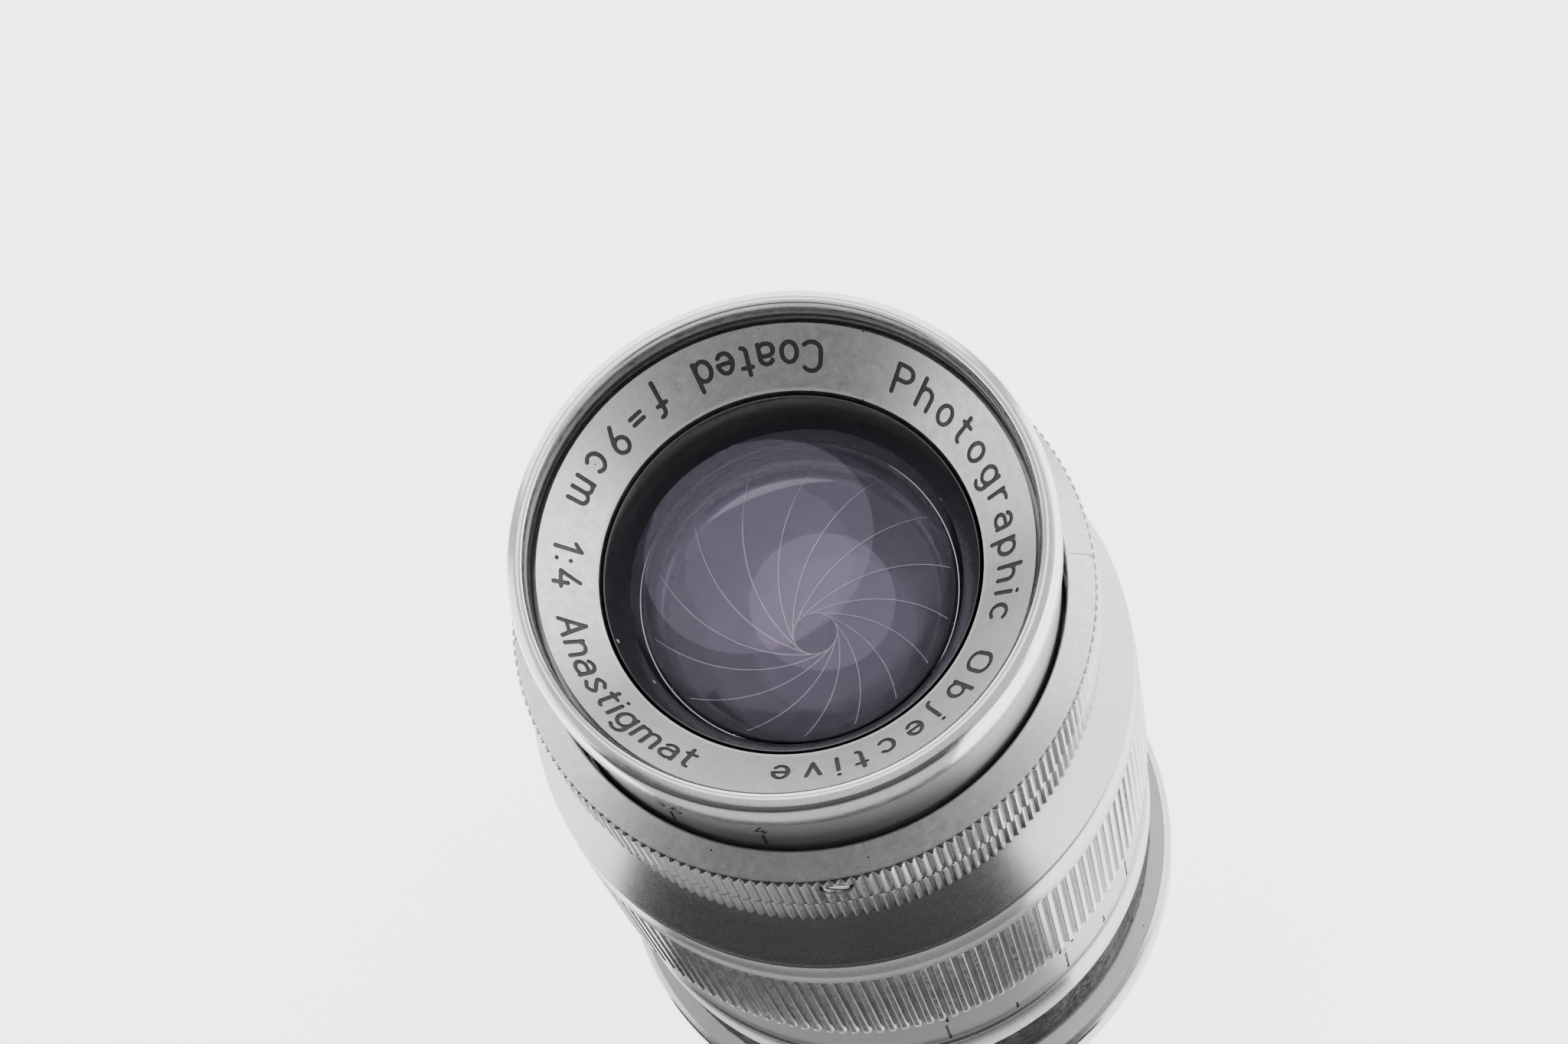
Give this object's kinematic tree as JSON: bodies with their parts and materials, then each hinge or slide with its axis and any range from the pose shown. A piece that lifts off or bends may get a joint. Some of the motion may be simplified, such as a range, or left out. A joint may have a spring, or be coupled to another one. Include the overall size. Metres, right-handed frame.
{
  "type": "photographic lens",
  "caption": "Satin-chrome 90 mm f/4 lens in a focusing screw mount, with a multi-blade iris and knurled rings, as used on a rangefinder camera or a 39 mm enlarger board.",
  "frame": {"origin": "centre of the rear end of the screw mount, on the plane the lens stands on", "axes": "+Z along the optical axis towards the front glass, -Y on the side of the visible aperture set screw"},
  "size_m": [0.0526, 0.0526, 0.0906],
  "materials": {
    "satin_chrome": "satin plated",
    "polished_chrome": "polished",
    "turned_brass": "turned, greased",
    "black_lacquer": "gloss",
    "matt_black": "matt",
    "black_covering": "grained, worn at its edge",
    "blade_steel": "blackened",
    "coated_glass": "violet anti-reflection coating"
  },
  "bodies": {
    "mount": {"screw_mount": "polished_chrome", "mount_flange": "satin_chrome", "flange_screw_1": "polished_chrome", "flange_screw_2": "polished_chrome", "flange_screw_3": "polished_chrome", "flange_screw_4": "polished_chrome", "mount_barrel": "turned_brass", "barrel_covering": "black_covering", "guide_key_1": "turned_brass", "guide_key_2": "turned_brass"},
    "rangefinder_follower": {"rangefinder_tube": "turned_brass"},
    "focus_guide": {"guide_sleeve": "turned_brass"},
    "lens_head": {"focus_ring": "satin_chrome", "helicoid_tube": "turned_brass", "sleeve_retaining_ring": "turned_brass", "head_cone": "satin_chrome", "head_grip_ring": "satin_chrome", "aperture_scale_barrel": "satin_chrome", "front_rim": "polished_chrome", "name_ring": "satin_chrome", "front_retaining_ring": "black_lacquer", "front_cell": "matt_black", "front_element": "coated_glass", "middle_element": "coated_glass", "element_spacer": "matt_black", "iris_base_plate": "matt_black", "rear_cell": "matt_black", "rear_inner_element": "coated_glass", "rear_outer_element": "coated_glass", "rear_retaining_ring": "matt_black", "rear_baffle": "matt_black"},
    "aperture_control": {"aperture_ring": "satin_chrome", "iris_cam_ring": "matt_black", "aperture_set_screw_1": "polished_chrome", "aperture_set_screw_2": "polished_chrome"},
    "blade_01": {"iris_blade_01": "blade_steel"},
    "blade_02": {"iris_blade_02": "blade_steel"},
    "blade_03": {"iris_blade_03": "blade_steel"},
    "blade_04": {"iris_blade_04": "blade_steel"},
    "blade_05": {"iris_blade_05": "blade_steel"},
    "blade_06": {"iris_blade_06": "blade_steel"},
    "blade_07": {"iris_blade_07": "blade_steel"},
    "blade_08": {"iris_blade_08": "blade_steel"},
    "blade_09": {"iris_blade_09": "blade_steel"},
    "blade_10": {"iris_blade_10": "blade_steel"},
    "blade_11": {"iris_blade_11": "blade_steel"},
    "blade_12": {"iris_blade_12": "blade_steel"},
    "blade_13": {"iris_blade_13": "blade_steel"},
    "blade_14": {"iris_blade_14": "blade_steel"},
    "blade_15": {"iris_blade_15": "blade_steel"}
  },
  "joints": [
    {"name": "focus_advance", "type": "slide", "parent": "mount", "child": "focus_guide", "axis": [0, 0, 1], "range_m": [0, 0.01]},
    {"name": "focus_turn", "type": "hinge", "parent": "focus_guide", "child": "lens_head", "pos_m": [0, 0, 0.045], "axis": [0, 0, 1], "range_deg": [0, 260]},
    {"name": "rangefinder_travel", "type": "slide", "parent": "mount", "child": "rangefinder_follower", "axis": [0, 0, 1], "range_m": [0, 0.0028]},
    {"name": "aperture_turn", "type": "hinge", "parent": "lens_head", "child": "aperture_control", "pos_m": [0, 0, 0.0757], "axis": [0, 0, 1], "range_deg": [0, 77.4]},
    {"name": "blade_01_swing", "type": "hinge", "parent": "lens_head", "child": "blade_01", "pos_m": [0.01357, 0.00095, 0.0723], "axis": [0, 0, 1], "range_deg": [-40, 0]},
    {"name": "blade_02_swing", "type": "hinge", "parent": "lens_head", "child": "blade_02", "pos_m": [0.01201, 0.00638, 0.0723], "axis": [0, 0, 1], "range_deg": [-40, 0]},
    {"name": "blade_03_swing", "type": "hinge", "parent": "lens_head", "child": "blade_03", "pos_m": [0.00837, 0.01072, 0.0723], "axis": [0, 0, 1], "range_deg": [-40, 0]},
    {"name": "blade_04_swing", "type": "hinge", "parent": "lens_head", "child": "blade_04", "pos_m": [0.00329, 0.0132, 0.0723], "axis": [0, 0, 1], "range_deg": [-40, 0]},
    {"name": "blade_05_swing", "type": "hinge", "parent": "lens_head", "child": "blade_05", "pos_m": [-0.00236, 0.01339, 0.0723], "axis": [0, 0, 1], "range_deg": [-40, 0]},
    {"name": "blade_06_swing", "type": "hinge", "parent": "lens_head", "child": "blade_06", "pos_m": [-0.0076, 0.01127, 0.0723], "axis": [0, 0, 1], "range_deg": [-40, 0]},
    {"name": "blade_07_swing", "type": "hinge", "parent": "lens_head", "child": "blade_07", "pos_m": [-0.01153, 0.00721, 0.0723], "axis": [0, 0, 1], "range_deg": [-40, 0]},
    {"name": "blade_08_swing", "type": "hinge", "parent": "lens_head", "child": "blade_08", "pos_m": [-0.01347, 0.00189, 0.0723], "axis": [0, 0, 1], "range_deg": [-40, 0]},
    {"name": "blade_09_swing", "type": "hinge", "parent": "lens_head", "child": "blade_09", "pos_m": [-0.01307, -0.00375, 0.0723], "axis": [0, 0, 1], "range_deg": [-40, 0]},
    {"name": "blade_10_swing", "type": "hinge", "parent": "lens_head", "child": "blade_10", "pos_m": [-0.01042, -0.00874, 0.0723], "axis": [0, 0, 1], "range_deg": [-40, 0]},
    {"name": "blade_11_swing", "type": "hinge", "parent": "lens_head", "child": "blade_11", "pos_m": [-0.00596, -0.01222, 0.0723], "axis": [0, 0, 1], "range_deg": [-40, 0]},
    {"name": "blade_12_swing", "type": "hinge", "parent": "lens_head", "child": "blade_12", "pos_m": [-0.00047, -0.01359, 0.0723], "axis": [0, 0, 1], "range_deg": [-40, 0]},
    {"name": "blade_13_swing", "type": "hinge", "parent": "lens_head", "child": "blade_13", "pos_m": [0.00509, -0.01261, 0.0723], "axis": [0, 0, 1], "range_deg": [-40, 0]},
    {"name": "blade_14_swing", "type": "hinge", "parent": "lens_head", "child": "blade_14", "pos_m": [0.00978, -0.00945, 0.0723], "axis": [0, 0, 1], "range_deg": [-40, 0]},
    {"name": "blade_15_swing", "type": "hinge", "parent": "lens_head", "child": "blade_15", "pos_m": [0.01278, -0.00465, 0.0723], "axis": [0, 0, 1], "range_deg": [-40, 0]}
  ],
  "couplings": [
    {"joint": "focus_advance", "follows": "focus_turn", "m_per_rad": 0.0022036},
    {"joint": "rangefinder_travel", "follows": "focus_turn", "m_per_rad": 0.000617},
    {"joint": "blade_01_swing", "follows": "aperture_turn", "ratio": -0.5167},
    {"joint": "blade_02_swing", "follows": "aperture_turn", "ratio": -0.5167},
    {"joint": "blade_03_swing", "follows": "aperture_turn", "ratio": -0.5167},
    {"joint": "blade_04_swing", "follows": "aperture_turn", "ratio": -0.5167},
    {"joint": "blade_05_swing", "follows": "aperture_turn", "ratio": -0.5167},
    {"joint": "blade_06_swing", "follows": "aperture_turn", "ratio": -0.5167},
    {"joint": "blade_07_swing", "follows": "aperture_turn", "ratio": -0.5167},
    {"joint": "blade_08_swing", "follows": "aperture_turn", "ratio": -0.5167},
    {"joint": "blade_09_swing", "follows": "aperture_turn", "ratio": -0.5167},
    {"joint": "blade_10_swing", "follows": "aperture_turn", "ratio": -0.5167},
    {"joint": "blade_11_swing", "follows": "aperture_turn", "ratio": -0.5167},
    {"joint": "blade_12_swing", "follows": "aperture_turn", "ratio": -0.5167},
    {"joint": "blade_13_swing", "follows": "aperture_turn", "ratio": -0.5167},
    {"joint": "blade_14_swing", "follows": "aperture_turn", "ratio": -0.5167},
    {"joint": "blade_15_swing", "follows": "aperture_turn", "ratio": -0.5167}
  ]
}
